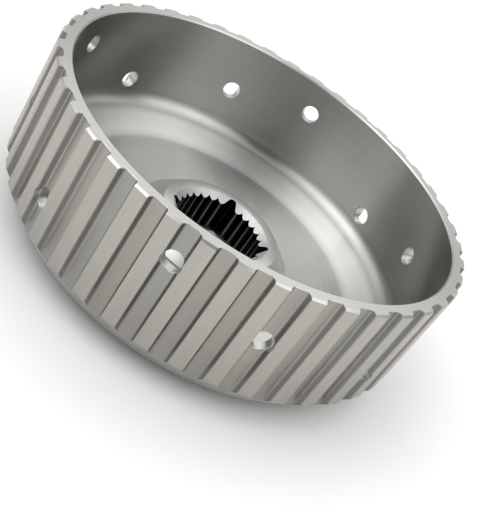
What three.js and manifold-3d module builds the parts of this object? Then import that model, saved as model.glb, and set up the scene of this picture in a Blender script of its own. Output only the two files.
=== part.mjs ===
// The clutch hub of an automatic gearbox, in millimetres. Two machined pieces make it: a cup whose
// wall carries straight outer teeth for the clutch plates, and a centre hub whose bore is splined
// for the shaft. +Z points out of the open end. The origin is the middle of the hub's back face.
// The sections below give heights from the closed end's face, and the finished pieces are lifted by
// the height of the hub's back boss.
import * as THREE from "three";
import { mergeVertices } from "three/addons/utils/BufferGeometryUtils.js";
import Module from "manifold-3d";

const wasm = await Module();
wasm.setup();

// Outer teeth
const TEETH = 42;
const TIP_RADIUS = 72;
const TOOTH_DEPTH = 1.9;
const TIP_SHARE = 0.43; // tooth width at its tip, as a share of the pitch
const ROOT_SHARE = 0.51; // tooth width at the groove floor, as a share of the pitch
const GROOVE_FILLET = 0.9; // round at the corners of a groove floor

// Cup
const HEIGHT = 46;
const WALL = 3; // under a groove
const BASE_RADIUS = 65;
const BEVEL_HEIGHT = 8.1; // of the cone that takes the closed end down to the base
const RIM_OUTER_CHAMFER = 0.6;
const RIM_INNER_CHAMFER = 0.5;
const FLOOR = 5.7; // thickness of the flat floor
const FLOOR_RADIUS = 51;
const FLOOR_RISE = THREE.MathUtils.degToRad(18); // slope of the shallow cone outside the flat floor
const WALL_FILLET = 6; // between that cone and the wall
const EDGE_BREAK = 0.4; // small chamfer on the seat's edges

// Oil holes: spaced three and four teeth apart in turn, at three levels in turn
const HOLES = 12;
const HOLE_RADIUS = 3.175;
const HOLE_DEPTHS = [11.5, 27.7, 19.6]; // below the rim
const HOLE_START = 1.5; // the first hole's place, in teeth from the first tooth
const HOLE_STEP = 3.5; // the mean spacing, in teeth

// Centre hub
const HUB_RADIUS = 27.7;
const SEAT_GAP = 0.3; // all round, between the hub and the cup's seat
const HUB_STEP = 0.8; // how far the hub's straight side stands proud of the floor
const HUB_HEIGHT = 12;
const BACK_BOSS_HEIGHT = 3; // how far the hub stands proud of the closed end
const BACK_BOSS_RADIUS = 22;
const LAND_RADIUS = 21.2; // outer edge of the flat land round the bore
const MOUTH_RADIUS = 17.5; // inner edge of that land, where the bore's chamfer starts
const BACK_MOUTH_RADIUS = 17.2; // the same on the back boss
const BORE_BLANK_RADIUS = 14; // before the spline is cut

// Inner spline: four of its thirty teeth are left out for round oil grooves
const SPLINE_TEETH = 30;
const SPLINE_TIP_RADIUS = 15.2;
const SPLINE_ROOT_RADIUS = 16.4;
const SPACE_WIDTH = 2.1; // of a space between two teeth, at the tooth tips
const SPACE_ROOT_WIDTH = 0.8;
const OIL_GROOVES = [0, 8, 15, 23]; // the places of the teeth left out
const OIL_GROOVE_RADIUS = 2.4;
const OIL_GROOVE_CENTRE = 15.6; // distance of its centre from the axis
const FIRST_OIL_GROOVE = THREE.MathUtils.degToRad(-91.8);

// Fineness of the solids
const CUP_SEGMENTS = 3 * TEETH;
const HUB_SEGMENTS = 3 * SPLINE_TEETH;
const HOLE_SEGMENTS = 24;
const FILLET_STEPS = 6;
const OIL_GROOVE_STEPS = 8;
const OVERRUN = 1; // how far a cutter runs past what it cuts
const MERGE_DISTANCE = 1e-4;

const PITCH = (2 * Math.PI) / TEETH;
const ROOT_RADIUS = TIP_RADIUS - TOOTH_DEPTH;
const INNER_RADIUS = ROOT_RADIUS - WALL;
const SPLINE_PITCH = (2 * Math.PI) / SPLINE_TEETH;

function solidOf(geometry) {
  const bare = geometry.clone();
  bare.deleteAttribute("normal");
  bare.deleteAttribute("uv");
  const merged = mergeVertices(bare, MERGE_DISTANCE);
  const mesh = new wasm.Mesh({
    numProp: 3,
    vertProperties: merged.attributes.position.array,
    triVerts: new Uint32Array(merged.index.array),
  });
  return new wasm.Manifold(mesh);
}

function geometryOf(solid) {
  const { vertProperties, triVerts } = solid.getMesh();
  const geometry = new THREE.BufferGeometry();
  geometry.setAttribute("position", new THREE.BufferAttribute(vertProperties, 3));
  geometry.setIndex(new THREE.BufferAttribute(triVerts, 1));
  return geometry.toNonIndexed();
}

// A ring turned from [radius, height] points that run once round its section.
function turned(section, segments) {
  const points = [...section, section[0]].map(([radius, height]) => new THREE.Vector2(radius, height));
  return solidOf(new THREE.LatheGeometry(points, segments).rotateX(Math.PI / 2));
}

// A bar along the axis from one height to another, with an outline of [radius, angle] points.
function bar(outline, low, high) {
  const points = outline.map(
    ([radius, angle]) => new THREE.Vector2(radius * Math.cos(angle), radius * Math.sin(angle)),
  );
  const options = { depth: high - low, bevelEnabled: false };
  return solidOf(new THREE.ExtrudeGeometry(new THREE.Shape(points), options).translate(0, 0, low));
}

// The fillet between the cup's wall and the shallow cone, from the wall down to the cone.
function wallFillet() {
  const centreRadius = INNER_RADIUS - WALL_FILLET;
  const coneRadius = centreRadius + WALL_FILLET * Math.sin(FLOOR_RISE);
  const coneHeight = FLOOR + (coneRadius - FLOOR_RADIUS) * Math.tan(FLOOR_RISE);
  const centreHeight = coneHeight + WALL_FILLET * Math.cos(FLOOR_RISE);
  const turn = Math.PI / 2 - FLOOR_RISE;
  return Array.from({ length: FILLET_STEPS + 1 }, (_, i) => {
    const angle = (turn * i) / FILLET_STEPS;
    return [
      centreRadius + WALL_FILLET * Math.cos(angle),
      centreHeight - WALL_FILLET * Math.sin(angle),
    ];
  });
}

// The cup's section before its teeth are cut. It stands proud of the tooth tips, so that the bevel
// and the rim's chamfer cut each tooth along a clean line.
function cupSection() {
  const blankRadius = TIP_RADIUS + OVERRUN;
  const bevelSlope = BEVEL_HEIGHT / (TIP_RADIUS - BASE_RADIUS);
  const seatRadius = HUB_RADIUS + SEAT_GAP;
  return [
    [seatRadius + EDGE_BREAK, 0],
    [BASE_RADIUS, 0],
    [blankRadius, bevelSlope * (blankRadius - BASE_RADIUS)],
    [blankRadius, HEIGHT - RIM_OUTER_CHAMFER - OVERRUN],
    [TIP_RADIUS - RIM_OUTER_CHAMFER, HEIGHT],
    [INNER_RADIUS + RIM_INNER_CHAMFER, HEIGHT],
    [INNER_RADIUS, HEIGHT - RIM_INNER_CHAMFER],
    ...wallFillet(),
    [FLOOR_RADIUS, FLOOR],
    [seatRadius, FLOOR],
    [seatRadius, EDGE_BREAK],
  ];
}

// One tooth and the groove after it, as [radius, angle] points. The flank leans by the difference
// between the tooth's two widths, and a short round joins it to the groove floor.
function toothOutline(index) {
  const tipHalf = (TIP_SHARE * PITCH) / 2;
  const rootHalf = (ROOT_SHARE * PITCH) / 2;
  const fillet = GROOVE_FILLET / ROOT_RADIUS;
  const filletLow = GROOVE_FILLET * (1 - Math.SQRT1_2);
  const half = [
    [TIP_RADIUS, tipHalf],
    [ROOT_RADIUS + GROOVE_FILLET, rootHalf],
    [ROOT_RADIUS + filletLow, rootHalf + filletLow / ROOT_RADIUS],
    [ROOT_RADIUS, rootHalf + fillet],
  ];
  const centre = index * PITCH;
  const rising = half.map(([radius, angle]) => [radius, centre - angle]).reverse();
  const falling = half.map(([radius, angle]) => [radius, centre + angle]);
  return [...rising, [TIP_RADIUS, centre], ...falling, [ROOT_RADIUS, centre + PITCH / 2]];
}

function toothedBar() {
  const outline = Array.from({ length: TEETH }, (_, index) => toothOutline(index)).flat();
  return bar(outline, -OVERRUN, HEIGHT + OVERRUN);
}

// The cutter for one oil hole. An odd hole is half a tooth short of the mean spacing, which puts
// every hole on the middle of a groove.
function oilHole(index) {
  const place = HOLE_START + HOLE_STEP * index - (index % 2) / 2;
  const depth = HOLE_DEPTHS[index % HOLE_DEPTHS.length];
  const length = TIP_RADIUS - INNER_RADIUS + 2 * OVERRUN;
  const middle = (TIP_RADIUS + INNER_RADIUS) / 2;
  const cutter = new THREE.CylinderGeometry(HOLE_RADIUS, HOLE_RADIUS, length, HOLE_SEGMENTS);
  cutter.rotateZ(-Math.PI / 2).translate(middle, 0, HEIGHT - depth).rotateZ(-place * PITCH);
  return solidOf(cutter);
}

function clutchDrum() {
  let drum = turned(cupSection(), CUP_SEGMENTS).intersect(toothedBar());
  for (let index = 0; index < HOLES; index += 1) {
    drum = drum.subtract(oilHole(index));
  }
  return drum;
}

function hubSection() {
  const mouthFall = MOUTH_RADIUS - BORE_BLANK_RADIUS;
  const backRise = BACK_MOUTH_RADIUS - BORE_BLANK_RADIUS;
  return [
    [BACK_MOUTH_RADIUS, -BACK_BOSS_HEIGHT],
    [BACK_BOSS_RADIUS - EDGE_BREAK, -BACK_BOSS_HEIGHT],
    [BACK_BOSS_RADIUS, EDGE_BREAK - BACK_BOSS_HEIGHT],
    [BACK_BOSS_RADIUS, 0],
    [HUB_RADIUS - EDGE_BREAK, 0],
    [HUB_RADIUS, EDGE_BREAK],
    [HUB_RADIUS, FLOOR + HUB_STEP],
    [LAND_RADIUS, HUB_HEIGHT],
    [MOUTH_RADIUS, HUB_HEIGHT],
    [BORE_BLANK_RADIUS, HUB_HEIGHT - mouthFall],
    [BORE_BLANK_RADIUS, backRise - BACK_BOSS_HEIGHT],
  ];
}

// The space on one side of a spline tooth, or the round oil groove where the tooth is left out.
// Each place runs from the middle of its tooth to the next one's.
function splineSpace(place) {
  const centre = FIRST_OIL_GROOVE + (place + 0.5) * SPLINE_PITCH;
  const mouthHalf = SPACE_WIDTH / 2 / SPLINE_TIP_RADIUS;
  const rootHalf = SPACE_ROOT_WIDTH / 2 / SPLINE_ROOT_RADIUS;
  return [
    [SPLINE_TIP_RADIUS, centre - mouthHalf],
    [SPLINE_ROOT_RADIUS, centre - rootHalf],
    [SPLINE_ROOT_RADIUS, centre + rootHalf],
    [SPLINE_TIP_RADIUS, centre + mouthHalf],
  ];
}

function splineBar() {
  const places = Array.from({ length: SPLINE_TEETH }, (_, place) => place);
  return bar(places.flatMap(splineSpace), -BACK_BOSS_HEIGHT - OVERRUN, HUB_HEIGHT + OVERRUN);
}

function oilGroove(place) {
  const angle = FIRST_OIL_GROOVE + place * SPLINE_PITCH;
  const length = BACK_BOSS_HEIGHT + HUB_HEIGHT + 2 * OVERRUN;
  const middle = (HUB_HEIGHT - BACK_BOSS_HEIGHT) / 2;
  const cutter = new THREE.CylinderGeometry(
    OIL_GROOVE_RADIUS,
    OIL_GROOVE_RADIUS,
    length,
    2 * OIL_GROOVE_STEPS,
  );
  cutter.rotateX(Math.PI / 2).translate(OIL_GROOVE_CENTRE, 0, middle).rotateZ(angle);
  return solidOf(cutter);
}

function splinedHub() {
  let hub = turned(hubSection(), HUB_SEGMENTS).subtract(splineBar());
  for (const place of OIL_GROOVES) {
    hub = hub.subtract(oilGroove(place));
  }
  return hub;
}

function piece(name, solid, color, roughness) {
  const material = new THREE.MeshStandardMaterial({ color, roughness, metalness: 1 });
  const mesh = new THREE.Mesh(geometryOf(solid), material);
  mesh.name = name;
  mesh.position.z = BACK_BOSS_HEIGHT;
  return mesh;
}

const clutchHub = new THREE.Group();
clutchHub.add(piece("clutch_drum", clutchDrum(), 0xb8b6b1, 0.35));
clutchHub.add(piece("splined_hub", splinedHub(), 0xaeada9, 0.4));

export default clutchHub;
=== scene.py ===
"""The looks of the clutch hub: fine meshes for its two machined pieces, steel finishes, floor, light."""

import math

import bpy
from mathutils import Matrix, Vector


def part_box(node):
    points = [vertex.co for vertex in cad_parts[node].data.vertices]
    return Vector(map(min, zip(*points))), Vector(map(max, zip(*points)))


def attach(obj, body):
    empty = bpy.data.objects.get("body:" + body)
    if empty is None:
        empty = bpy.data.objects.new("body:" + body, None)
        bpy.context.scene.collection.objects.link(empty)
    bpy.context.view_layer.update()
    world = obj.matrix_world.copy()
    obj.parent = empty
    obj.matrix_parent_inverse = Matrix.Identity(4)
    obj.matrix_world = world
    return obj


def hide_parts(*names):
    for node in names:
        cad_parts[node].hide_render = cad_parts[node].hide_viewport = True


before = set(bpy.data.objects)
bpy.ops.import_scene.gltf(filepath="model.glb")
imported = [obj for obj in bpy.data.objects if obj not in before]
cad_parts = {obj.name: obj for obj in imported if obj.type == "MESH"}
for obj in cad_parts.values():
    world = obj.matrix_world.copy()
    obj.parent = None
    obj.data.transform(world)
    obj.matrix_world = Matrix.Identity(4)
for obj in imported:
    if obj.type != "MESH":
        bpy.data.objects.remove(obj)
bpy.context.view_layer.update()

MM = 0.001
drum_low, drum_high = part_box("clutch_drum")
hub_low, hub_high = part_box("splined_hub")

# Outer teeth
TEETH = 42
TIP_RADIUS = drum_high.x
TOOTH_DEPTH = 1.9 * MM
TIP_SHARE = 0.43
ROOT_SHARE = 0.51
TIP_ROUND = 0.12 * MM
TIP_ROUND_BEND = 0.3  # where the round's middle point lies, as a share of the round
TIP_STEPS = 3  # on each half of a tooth's tip
GROOVE_FILLET = 0.9 * MM
GROOVE_STEPS = 4  # on a groove's fillet, and on each half of its floor

# Cup, with its heights measured from the closed end's face
BASE = drum_low.z
HEIGHT = drum_high.z - BASE
WALL = 3 * MM
BASE_RADIUS = 65 * MM
BEVEL_HEIGHT = 8.1 * MM
RIM_OUTER_CHAMFER = 0.6 * MM
RIM_INNER_CHAMFER = 0.5 * MM
FLOOR = 5.7 * MM
FLOOR_RADIUS = 51 * MM
FLOOR_RISE = math.radians(18)
BEND_HALF = 1 * MM  # half the width of the soft bend from the flat floor to the cone
BEND_MIDDLE_RISE = 0.04 * MM
BEND_END_RISE = 0.25 * MM
WALL_FILLET = 6 * MM
WALL_FILLET_STEPS = 14
EDGE_BREAK = 0.1 * MM

# Oil holes
HOLES = 12
HOLE_RADIUS = 3.175 * MM
HOLE_DEPTHS = (11.5 * MM, 27.7 * MM, 19.6 * MM)
HOLE_START = 1.5
HOLE_STEP = 3.5
HOLE_BREAK = 0.12 * MM
HOLE_SIDES = 64
CUTTER_OVERRUN = 2 * MM  # how far a cutter runs past the wall
CUTTER_LIP = 0.05 * MM  # how far inside the wall its edge break starts

# Centre hub
HUB_RADIUS = hub_high.x
SEAT_GAP = 0.08 * MM
HUB_STEP = 0.8 * MM
STEP_CHAMFER = 0.25 * MM
HUB_HEIGHT = hub_high.z - BASE
BACK_BOSS_HEIGHT = BASE - hub_low.z
BACK_BOSS_RADIUS = 22 * MM
LAND_RADIUS = 21.2 * MM
MOUTH_RADIUS = 17.5 * MM
BACK_MOUTH_RADIUS = 17.2 * MM
BACK_BREAK = 0.4 * MM

# Inner spline
SPLINE_TEETH = 30
SPLINE_TIP_RADIUS = 15.2 * MM
SPLINE_ROOT_RADIUS = 16.4 * MM
SPLINE_STEPS = 9
SPLINE_ROUND = 1.5  # power of the curve that rounds a tooth from its tip to its root
OIL_GROOVES = (0, 8, 15, 23)
OIL_GROOVE_HALF = 2.1 * MM
OIL_GROOVE_REACH = 18.0 * MM
OIL_GROOVE_ROUND = 0.25 * MM
OIL_GROOVE_FULLNESS = 1.5  # power of the curve from its bottom to its sides
FIRST_OIL_GROOVE = math.radians(-91.8)

# Light: an even dome, a glow round the horizon, and soft far lamps of one size: two in front of the part,
# four behind it and at its side, and one overhead. Angles are in degrees.
DOME = 0.1
GLOW = 0.75
GLOW_FULL = 5  # elevation where the glow starts to fade
GLOW_EDGE = 20  # elevation where it ends
LAMP_FULL = 5  # angle from a lamp's middle to where it starts to fade
LAMP_EDGE = 35  # angle to where it ends
LAMP_ELEVATION = 45
FRONT_LAMPS = (30, 150)  # azimuths
FRONT_STRENGTH = 2
BACK_LAMPS = (225, 270, 315, 360)  # azimuths
BACK_STRENGTH = 1
OVERHEAD_LAMP = (270, 80)  # azimuth and elevation; it is as strong as a back lamp

# Camera
IMAGE_WIDTH = 500
FOCAL_PIXELS = 938.8
SENSOR_WIDTH = 36
CLIP_START = 0.01  # metres
CLIP_END = 20
CAMERA_PLACE = Vector((21.84, 267.14, 166.9)) * MM
CAMERA_AIM = Vector((-10.44, 27.82, 26.0)) * MM
CAMERA_ROLL = math.radians(35.76)

# Stage floor
STAGE_REACH = 8.0  # metres from its middle to each side
STAGE_PALENESS = 0.9
STAGE_ROUGHNESS = 0.9

# Steel's surface
PATCHES_ACROSS = 75  # soft patches of colour in a metre, across the axis
PATCHES_ALONG = 15  # and along it
MARK_SHADE = 0.03  # how much a tool mark lightens or darkens the colour
MARK_GRAIN = 0.01  # how much it changes the roughness
PATCH_GRAIN = 0.02  # how much a patch does
MARK_BUMP = 0.2  # strength of the marks' relief, where reflections aren't stretched
MARK_DEPTH = 0.003 * MM
ACROSS_THE_MARKS = 0.25  # the share of a full turn that stretches reflections across the tool marks
NOISE_LOW = 0.3  # the range that a noise mostly keeps to
NOISE_HIGH = 0.7

PITCH = 2 * math.pi / TEETH
ROOT_RADIUS = TIP_RADIUS - TOOTH_DEPTH
INNER_RADIUS = ROOT_RADIUS - WALL
SEAT_RADIUS = HUB_RADIUS + SEAT_GAP
SPLINE_PITCH = 2 * math.pi / SPLINE_TEETH


# ---------------------------------------------------------------- meshes


def spread(start, end, steps):
    """Evenly spaced values from start to end, without the start."""
    return [start + (end - start) * i / steps for i in range(1, steps + 1)]


def mesh_object(name, verts, faces, materials, face_materials):
    mesh = bpy.data.meshes.new(name)
    mesh.from_pydata(verts, [], faces)
    for material in materials:
        mesh.materials.append(material)
    mesh.polygons.foreach_set("material_index", face_materials)
    mesh.update()
    piece = bpy.data.objects.new(name, mesh)
    bpy.context.collection.objects.link(piece)
    return piece


def shade(piece, crease=30):
    mesh = piece.data
    mesh.polygons.foreach_set("use_smooth", [True] * len(mesh.polygons))
    mesh.set_sharp_from_angle(angle=math.radians(crease))
    mesh.update()


def ring_mesh(name, columns, row_materials, materials):
    """A ring from columns of (angle, section); a section's points run once round the solid.

    A section gives heights from the closed end's face.
    """
    rows = len(columns[0][1])
    verts = []
    for angle, section in columns:
        for radius, height in section:
            verts.append((radius * math.cos(angle), radius * math.sin(angle), BASE + height))
    faces = []
    face_materials = []
    for i in range(len(columns)):
        here = i * rows
        there = (i + 1) % len(columns) * rows
        for j in range(rows):
            k = (j + 1) % rows
            faces.append((here + j, there + j, there + k, here + k))
            face_materials.append(row_materials[j])
    return mesh_object(name, verts, faces, materials, face_materials)


def tooth_outline(index):
    """One outer tooth and the groove after it, as (angle, radius) points."""
    tip_half = TIP_SHARE * PITCH / 2
    root_half = ROOT_SHARE * PITCH / 2
    tip_round = TIP_ROUND / TIP_RADIUS
    fillet = GROOVE_FILLET / ROOT_RADIUS
    half = [(0.0, TIP_RADIUS)]
    half += [(angle, TIP_RADIUS) for angle in spread(0, tip_half - tip_round, TIP_STEPS)]
    half.append((tip_half - tip_round * TIP_ROUND_BEND, TIP_RADIUS - TIP_ROUND * TIP_ROUND_BEND))
    half.append((tip_half, TIP_RADIUS - TIP_ROUND))
    for turn in spread(0, math.pi / 2, GROOVE_STEPS):
        angle = root_half + fillet * (1 - math.cos(turn))
        radius = ROOT_RADIUS + GROOVE_FILLET * (1 - math.sin(turn))
        half.append((angle, radius))
    half += [(angle, ROOT_RADIUS) for angle in spread(root_half + fillet, PITCH / 2, GROOVE_STEPS)]
    centre = index * PITCH
    rising = [(centre - angle, radius) for angle, radius in reversed(half[1:-1])]
    falling = [(centre + angle, radius) for angle, radius in half]
    return rising + falling


TEETH_FINISH, RIM_FINISH, TURNED_FINISH = range(3)


def wall_fillet():
    """From the wall down to the shallow cone."""
    centre_radius = INNER_RADIUS - WALL_FILLET
    cone_radius = centre_radius + WALL_FILLET * math.sin(FLOOR_RISE)
    cone_height = FLOOR + (cone_radius - FLOOR_RADIUS) * math.tan(FLOOR_RISE)
    centre_height = cone_height + WALL_FILLET * math.cos(FLOOR_RISE)
    turns = [0] + spread(0, math.pi / 2 - FLOOR_RISE, WALL_FILLET_STEPS)
    return [
        (centre_radius + WALL_FILLET * math.cos(turn), centre_height - WALL_FILLET * math.sin(turn))
        for turn in turns
    ]


def drum_section(tip):
    """The cup's section where its outer wall has the radius tip, and the finish of each stretch."""
    bevel_slope = BEVEL_HEIGHT / (TIP_RADIUS - BASE_RADIUS)
    bevel_top = bevel_slope * (tip - BASE_RADIUS)
    chamfer = max(tip - (TIP_RADIUS - RIM_OUTER_CHAMFER), EDGE_BREAK)
    outer = [
        (BASE_RADIUS - EDGE_BREAK, 0),
        (BASE_RADIUS + EDGE_BREAK, EDGE_BREAK * bevel_slope),
        (tip - EDGE_BREAK, bevel_top - EDGE_BREAK * bevel_slope),
        (tip, bevel_top + EDGE_BREAK),
        (tip, HEIGHT - chamfer),
        (tip - chamfer, HEIGHT),
    ]
    inner = [
        (INNER_RADIUS + RIM_INNER_CHAMFER, HEIGHT),
        (INNER_RADIUS, HEIGHT - RIM_INNER_CHAMFER),
        *wall_fillet(),
        (FLOOR_RADIUS + BEND_HALF, FLOOR + BEND_END_RISE),
        (FLOOR_RADIUS, FLOOR + BEND_MIDDLE_RISE),
        (FLOOR_RADIUS - BEND_HALF, FLOOR),
        (SEAT_RADIUS + EDGE_BREAK, FLOOR),
        (SEAT_RADIUS, FLOOR - EDGE_BREAK),
        (SEAT_RADIUS, BACK_BREAK),
        (SEAT_RADIUS + BACK_BREAK, 0),
    ]
    finishes = [TURNED_FINISH] * 3 + [TEETH_FINISH] + [RIM_FINISH] * 3
    finishes += [TURNED_FINISH] * (len(outer) + len(inner) - len(finishes))
    return outer + inner, finishes


def hole_cutter(index):
    """The verts and faces of one oil hole's cutter. An odd hole is half a tooth short of the step."""
    place = HOLE_START + HOLE_STEP * index - (index % 2) / 2
    depth = HOLE_DEPTHS[index % len(HOLE_DEPTHS)]
    middle = BASE + HEIGHT - depth
    sides = HOLE_SIDES
    stops = [
        (INNER_RADIUS - CUTTER_OVERRUN, HOLE_RADIUS + HOLE_BREAK),
        (INNER_RADIUS - CUTTER_LIP, HOLE_RADIUS + HOLE_BREAK),
        (INNER_RADIUS + HOLE_BREAK, HOLE_RADIUS),
        (ROOT_RADIUS - HOLE_BREAK, HOLE_RADIUS),
        (ROOT_RADIUS, HOLE_RADIUS + HOLE_BREAK),
        (TIP_RADIUS + CUTTER_OVERRUN, HOLE_RADIUS + HOLE_BREAK),
    ]
    turn = Matrix.Rotation(-place * PITCH, 3, "Z")
    verts = []
    for along, radius in stops:
        for side in range(sides):
            angle = 2 * math.pi * side / sides
            point = Vector((along, radius * math.cos(angle), middle + radius * math.sin(angle)))
            verts.append(turn @ point)
    faces = [tuple(reversed(range(sides)))]
    for stop in range(len(stops) - 1):
        for side in range(sides):
            other = (side + 1) % sides
            faces.append((
                stop * sides + side,
                stop * sides + other,
                (stop + 1) * sides + other,
                (stop + 1) * sides + side,
            ))
    faces.append(tuple((len(stops) - 1) * sides + side for side in range(sides)))
    return verts, faces


def cut_holes(drum):
    verts = []
    faces = []
    for index in range(HOLES):
        hole_verts, hole_faces = hole_cutter(index)
        faces += [tuple(corner + len(verts) for corner in face) for face in hole_faces]
        verts += hole_verts
    cutter = mesh_object("hole_cutter", verts, faces, [drum.data.materials[RIM_FINISH]], [0] * len(faces))
    cut = drum.modifiers.new("holes", "BOOLEAN")
    cut.object = cutter
    cut.operation = "DIFFERENCE"
    cut.solver = "EXACT"
    cut.material_mode = "TRANSFER"
    shaped = drum.evaluated_get(bpy.context.evaluated_depsgraph_get())
    drum.data = bpy.data.meshes.new_from_object(shaped)
    drum.modifiers.clear()
    bpy.data.objects.remove(cutter)


def make_drum(materials):
    outline = [point for index in range(TEETH) for point in tooth_outline(index)]
    columns = [(angle, drum_section(radius)[0]) for angle, radius in outline]
    finishes = drum_section(TIP_RADIUS)[1]
    drum = ring_mesh("drum", columns, finishes, materials)
    cut_holes(drum)
    shade(drum)
    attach(drum, "root")
    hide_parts("clutch_drum")


def spline_outline(place):
    """The bore's outline from one spline tooth's middle to the next, as (angle, radius) points."""
    start = FIRST_OIL_GROOVE + place * SPLINE_PITCH
    depth = SPLINE_ROOT_RADIUS - SPLINE_TIP_RADIUS
    rising = []
    for turn in spread(0, math.pi / 2, SPLINE_STEPS):
        across = math.sin(turn)
        down = 1 - (1 - across**SPLINE_ROUND) ** (1 / SPLINE_ROUND)
        rising.append((SPLINE_PITCH / 2 * across, SPLINE_TIP_RADIUS + depth * down))
    first = [(start, SPLINE_TIP_RADIUS)] + [(start + angle, radius) for angle, radius in rising]
    second = [(start + SPLINE_PITCH - angle, radius) for angle, radius in reversed(rising[:-1])]
    return first + second


def with_oil_groove(angle, radius):
    """The outline's radius where an oil groove may cut deeper than the spline."""
    for place in OIL_GROOVES:
        offset = (angle - FIRST_OIL_GROOVE - place * SPLINE_PITCH + math.pi) % (2 * math.pi) - math.pi
        across = math.hypot(SPLINE_TIP_RADIUS * offset, OIL_GROOVE_ROUND) - OIL_GROOVE_ROUND
        if across < OIL_GROOVE_HALF:
            reach = OIL_GROOVE_REACH - SPLINE_TIP_RADIUS
            share = across / OIL_GROOVE_HALF
            radius = max(radius, SPLINE_TIP_RADIUS + reach * (1 - share**OIL_GROOVE_FULLNESS))
    return radius


def bore_outline():
    outline = [point for place in range(SPLINE_TEETH) for point in spline_outline(place)]
    return [(angle, with_oil_groove(angle, radius)) for angle, radius in outline]


HUB_FINISH, EDGE_FINISH, BORE_PAINTED_SHADE = range(3)


def hub_section(bore):
    """The hub's section where its bore has the radius bore, and the finish of each stretch."""
    back = -BACK_BOSS_HEIGHT
    mouth = max(MOUTH_RADIUS, bore + EDGE_BREAK)
    back_mouth = max(BACK_MOUTH_RADIUS, bore + EDGE_BREAK)
    step_top = FLOOR + HUB_STEP
    section = [
        (back_mouth, back),
        (BACK_BOSS_RADIUS - BACK_BREAK, back),
        (BACK_BOSS_RADIUS, back + BACK_BREAK),
        (BACK_BOSS_RADIUS, 0),
        (HUB_RADIUS - BACK_BREAK, 0),
        (HUB_RADIUS, BACK_BREAK),
        (HUB_RADIUS, step_top - STEP_CHAMFER),
        (HUB_RADIUS - STEP_CHAMFER, step_top),
        (LAND_RADIUS + EDGE_BREAK, HUB_HEIGHT - EDGE_BREAK),
        (LAND_RADIUS - EDGE_BREAK, HUB_HEIGHT),
        (mouth, HUB_HEIGHT),
        (bore, HUB_HEIGHT - (mouth - bore)),
        (bore, back + back_mouth - bore),
    ]
    # The bore and its back chamfer take the bore's painted shade.
    finishes = [HUB_FINISH] * 10 + [EDGE_FINISH, BORE_PAINTED_SHADE, BORE_PAINTED_SHADE]
    return section, finishes


def make_hub(materials):
    columns = [(angle, hub_section(radius)[0]) for angle, radius in bore_outline()]
    finishes = hub_section(SPLINE_TIP_RADIUS)[1]
    hub = ring_mesh("hub", columns, finishes, materials)
    shade(hub)
    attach(hub, "root")
    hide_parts("splined_hub")


# ---------------------------------------------------------------- finishes, some with painted light and shade


class Nodes:
    """Short calls for building the nodes of one material or world."""

    def __init__(self, tree):
        self.tree = tree

    def add(self, kind, **settings):
        node = self.tree.nodes.new(kind)
        for key, value in settings.items():
            setattr(node, key, value)
        return node

    def link(self, source, target):
        self.tree.links.new(source, target)

    def math(self, operation, first, second=None):
        node = self.add("ShaderNodeMath", operation=operation)
        for socket, value in zip(node.inputs, (first, second)):
            if value is None:
                continue
            if isinstance(value, (int, float)):
                socket.default_value = value
            else:
                self.link(value, socket)
        return node.outputs[0]

    def place(self):
        """The object's x, y and z, and the distance from its axis."""
        coordinates = self.add("ShaderNodeTexCoord")
        split = self.add("ShaderNodeSeparateXYZ")
        self.link(coordinates.outputs["Object"], split.inputs[0])
        x, y, z = split.outputs
        across = self.math("MULTIPLY", x, x)
        deep = self.math("MULTIPLY", y, y)
        radius = self.math("SQRT", self.math("ADD", across, deep))
        return x, y, z, radius

    def noise(self, x, y, z, detail=3.0, roughness=0.5):
        joined = self.add("ShaderNodeCombineXYZ")
        for socket, value in zip(joined.inputs, (x, y, z)):
            self.link(value, socket)
        noise = self.add("ShaderNodeTexNoise")
        noise.inputs["Scale"].default_value = 1
        noise.inputs["Detail"].default_value = detail
        noise.inputs["Roughness"].default_value = roughness
        self.link(joined.outputs[0], noise.inputs["Vector"])
        return noise.outputs[0]

    def spread(self, value, low, high, from_low=NOISE_LOW, from_high=NOISE_HIGH):
        """The value's range from_low to from_high taken smoothly to low to high."""
        node = self.add("ShaderNodeMapRange", interpolation_type="SMOOTHSTEP")
        node.inputs["From Min"].default_value = from_low
        node.inputs["From Max"].default_value = from_high
        node.inputs["To Min"].default_value = low
        node.inputs["To Max"].default_value = high
        self.link(value, node.inputs["Value"])
        return node.outputs[0]

    def blend(self, factor, first, second):
        node = self.add("ShaderNodeMix", data_type="RGBA")
        self.link(factor, node.inputs["Factor"])
        for socket, value in zip(node.inputs[6:8], (first, second)):
            if isinstance(value, tuple):
                socket.default_value = (*value, 1)
            else:
                self.link(value, socket)
        return node.outputs[2]

    def dim(self, colour, factor):
        """The colour times the factor."""
        node = self.add("ShaderNodeVectorMath", operation="SCALE")
        self.link(colour, node.inputs[0])
        self.link(factor, node.inputs["Scale"])
        return node.outputs[0]

    def bump(self, height, strength, distance):
        node = self.add("ShaderNodeBump")
        node.inputs["Strength"].default_value = strength
        node.inputs["Distance"].default_value = distance
        self.link(height, node.inputs["Height"])
        return node.outputs[0]


def new_material(name):
    material = bpy.data.materials.new(name)
    material.use_nodes = True
    return material, Nodes(material.node_tree), material.node_tree.nodes["Principled BSDF"]


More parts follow.
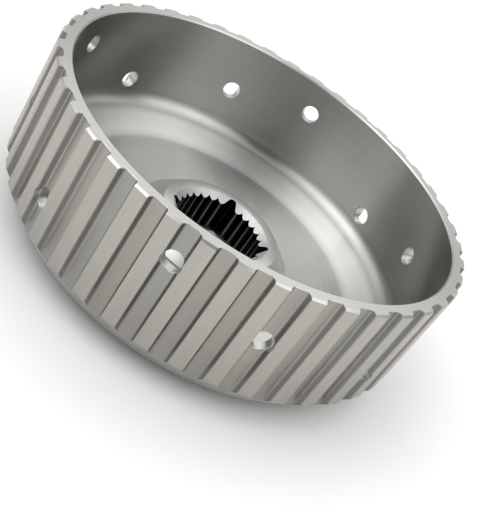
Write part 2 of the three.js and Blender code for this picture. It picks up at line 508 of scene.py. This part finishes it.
def machined_steel(name, colours, roughness, anisotropy, marks_per_metre, painted_tones=()):
    """Bare steel with fine tool marks.

    marks_per_metre counts the marks along x and y, along the radius, and along z. Each painted tone is a
    change of the colour's strength along the radius that paints light and shade into it, as (share before,
    share after, from radius, to radius).
    """
    material, nodes, shader = new_material(name)
    x, y, z, radius = nodes.place()
    across, outward, along = marks_per_metre
    turned = nodes.math("MULTIPLY", radius, outward)
    marks = nodes.noise(
        nodes.math("ADD", nodes.math("MULTIPLY", x, across), turned),
        nodes.math("MULTIPLY", y, across),
        nodes.math("MULTIPLY", z, along),
        detail=1.0,
    )
    patches = nodes.noise(
        nodes.math("MULTIPLY", x, PATCHES_ACROSS),
        nodes.math("MULTIPLY", y, PATCHES_ACROSS),
        nodes.math("MULTIPLY", z, PATCHES_ALONG),
    )
    colour = nodes.blend(nodes.spread(patches, 0, 1), *colours)
    colour = nodes.dim(colour, nodes.spread(marks, 1 - MARK_SHADE, 1 + MARK_SHADE))
    for painted_tone in painted_tones:
        colour = nodes.dim(colour, nodes.spread(radius, *painted_tone))
    nodes.link(colour, shader.inputs["Base Color"])
    mark_grain = nodes.spread(marks, -MARK_GRAIN, MARK_GRAIN)
    patch_grain = nodes.spread(patches, -PATCH_GRAIN, PATCH_GRAIN)
    grain = nodes.math("ADD", mark_grain, patch_grain)
    nodes.link(nodes.math("ADD", grain, roughness), shader.inputs["Roughness"])
    shader.inputs["Metallic"].default_value = 1
    if anisotropy:
        shader.inputs["Anisotropic"].default_value = anisotropy
        shader.inputs["Anisotropic Rotation"].default_value = ACROSS_THE_MARKS
        tangent = nodes.add("ShaderNodeTangent", direction_type="RADIAL", axis="Z")
        nodes.link(tangent.outputs[0], shader.inputs["Tangent"])
    else:
        nodes.link(nodes.bump(marks, MARK_BUMP, MARK_DEPTH), shader.inputs["Normal"])
    return material


def teeth_steel():
    colours = ((0.45, 0.42, 0.385), (0.42, 0.415, 0.38))
    # Painted shade in the grooves: the groove floors get 0.8 of the steel's colour and the flanks 0.5,
    # while the tooth tops keep all of it.
    painted_groove_shade = (0.8, 0.5, ROOT_RADIUS + 0.02 * MM, ROOT_RADIUS + 0.4 * MM)
    tops_clear_of_painted_shade = (1, 2, TIP_RADIUS - 0.6 * MM, TIP_RADIUS - 0.15 * MM)
    return machined_steel("hobbed_steel_painted_shade", colours, 0.42, 0, (1500, 0, 25), (painted_groove_shade, tops_clear_of_painted_shade))


def rim_steel():
    colours = ((0.545, 0.54, 0.515), (0.525, 0.53, 0.505))
    return machined_steel("faced_steel", colours, 0.36, 0.7, (0, 1200, 1200))


def turned_steel_painted_light():
    colours = ((0.55, 0.545, 0.52), (0.52, 0.525, 0.51))
    # Painted light: from the floor's edge outward the colour rises to 1.35 times, a painted highlight on
    # the cone, and from the fillet outward it falls to 0.6 of that, painted shade on the fillet, the wall
    # and all further out.
    painted_cone_highlight = (1, 1.35, FLOOR_RADIUS - 1 * MM, FLOOR_RADIUS + 4 * MM)
    painted_wall_shade = (1, 0.6, INNER_RADIUS - WALL_FILLET - 1 * MM, INNER_RADIUS - 2 * MM)
    return machined_steel("turned_steel_painted_light", colours, 0.31, 0.89, (0, 1200, 1200), (painted_cone_highlight, painted_wall_shade))


def edge_steel():
    colours = ((0.58, 0.575, 0.565), (0.55, 0.55, 0.545))
    return machined_steel("chamfered_steel", colours, 0.55, 0, (300, 0, 300))


def bore_steel():
    # Painted shade: the bore's colour is near black for the shade deep in the bore, and away from the
    # spline tips it drops to 0.04 of that.
    colours = ((0.10, 0.098, 0.095), (0.085, 0.085, 0.085))
    painted_tones = ((1, 0.04, SPLINE_TIP_RADIUS, SPLINE_TIP_RADIUS + 0.15 * MM),)
    return machined_steel("broached_steel_painted_shade", colours, 0.25, 0, (1500, 0, 25), painted_tones)


# ---------------------------------------------------------------- stage


def make_camera():
    data = bpy.data.cameras.new("camera")
    data.sensor_fit = "HORIZONTAL"
    data.sensor_width = SENSOR_WIDTH
    data.lens = FOCAL_PIXELS / IMAGE_WIDTH * SENSOR_WIDTH
    data.clip_start = CLIP_START
    data.clip_end = CLIP_END
    camera = bpy.data.objects.new("camera", data)
    level = (CAMERA_AIM - CAMERA_PLACE).to_track_quat("-Z", "Y").to_matrix()
    rolled = level @ Matrix.Rotation(CAMERA_ROLL, 3, "Z")
    camera.matrix_world = Matrix.Translation(CAMERA_PLACE) @ rolled.to_4x4()
    bpy.context.collection.objects.link(camera)
    bpy.context.scene.camera = camera


def make_floor():
    reach = STAGE_REACH
    corners = [(-reach, -reach, 0), (reach, -reach, 0), (reach, reach, 0), (-reach, reach, 0)]
    material, _, shader = new_material("pale_floor")
    shader.inputs["Base Color"].default_value = (STAGE_PALENESS, STAGE_PALENESS, STAGE_PALENESS, 1)
    shader.inputs["Roughness"].default_value = STAGE_ROUGHNESS
    floor = mesh_object("floor", corners, [(0, 1, 2, 3)], [material], [0])


def horizon_glow(nodes, direction):
    """A pale light all round, from the horizon up."""
    split = nodes.add("ShaderNodeSeparateXYZ")
    nodes.link(direction, split.inputs[0])
    heights = (math.sin(math.radians(GLOW_FULL)), math.sin(math.radians(GLOW_EDGE)))
    return nodes.spread(split.outputs["Z"], GLOW, 0, *heights)


def far_lamp(nodes, direction, azimuth, elevation, strength):
    """A large soft lamp far away."""
    aim = Matrix.Rotation(math.radians(azimuth), 3, "Z") @ Matrix.Rotation(-math.radians(elevation), 3, "Y")
    towards = nodes.add("ShaderNodeVectorMath", operation="DOT_PRODUCT")
    nodes.link(direction, towards.inputs[0])
    towards.inputs[1].default_value = aim @ Vector((1, 0, 0))
    angles = (math.cos(math.radians(LAMP_EDGE)), math.cos(math.radians(LAMP_FULL)))
    return nodes.spread(towards.outputs["Value"], 0, strength, *angles)


def make_light():
    world = bpy.data.worlds.new("studio")
    world.use_nodes = True
    bpy.context.scene.world = world
    nodes = Nodes(world.node_tree)
    coordinates = nodes.add("ShaderNodeTexCoord")
    direction = coordinates.outputs["Generated"]
    lamps = [(azimuth, LAMP_ELEVATION, FRONT_STRENGTH) for azimuth in FRONT_LAMPS]
    lamps += [(azimuth, LAMP_ELEVATION, BACK_STRENGTH) for azimuth in BACK_LAMPS]
    lamps.append((*OVERHEAD_LAMP, BACK_STRENGTH))
    strength = nodes.math("ADD", horizon_glow(nodes, direction), DOME)
    for lamp in lamps:
        strength = nodes.math("ADD", far_lamp(nodes, direction, *lamp), strength)
    background = world.node_tree.nodes["Background"]
    background.inputs["Color"].default_value = (1, 1, 1, 1)
    nodes.link(strength, background.inputs["Strength"])


bpy.context.scene.view_settings.view_transform = "Standard"
make_camera()
make_floor()
make_light()
turned = turned_steel_painted_light()
make_drum([teeth_steel(), rim_steel(), turned])
make_hub([turned, edge_steel(), bore_steel()])
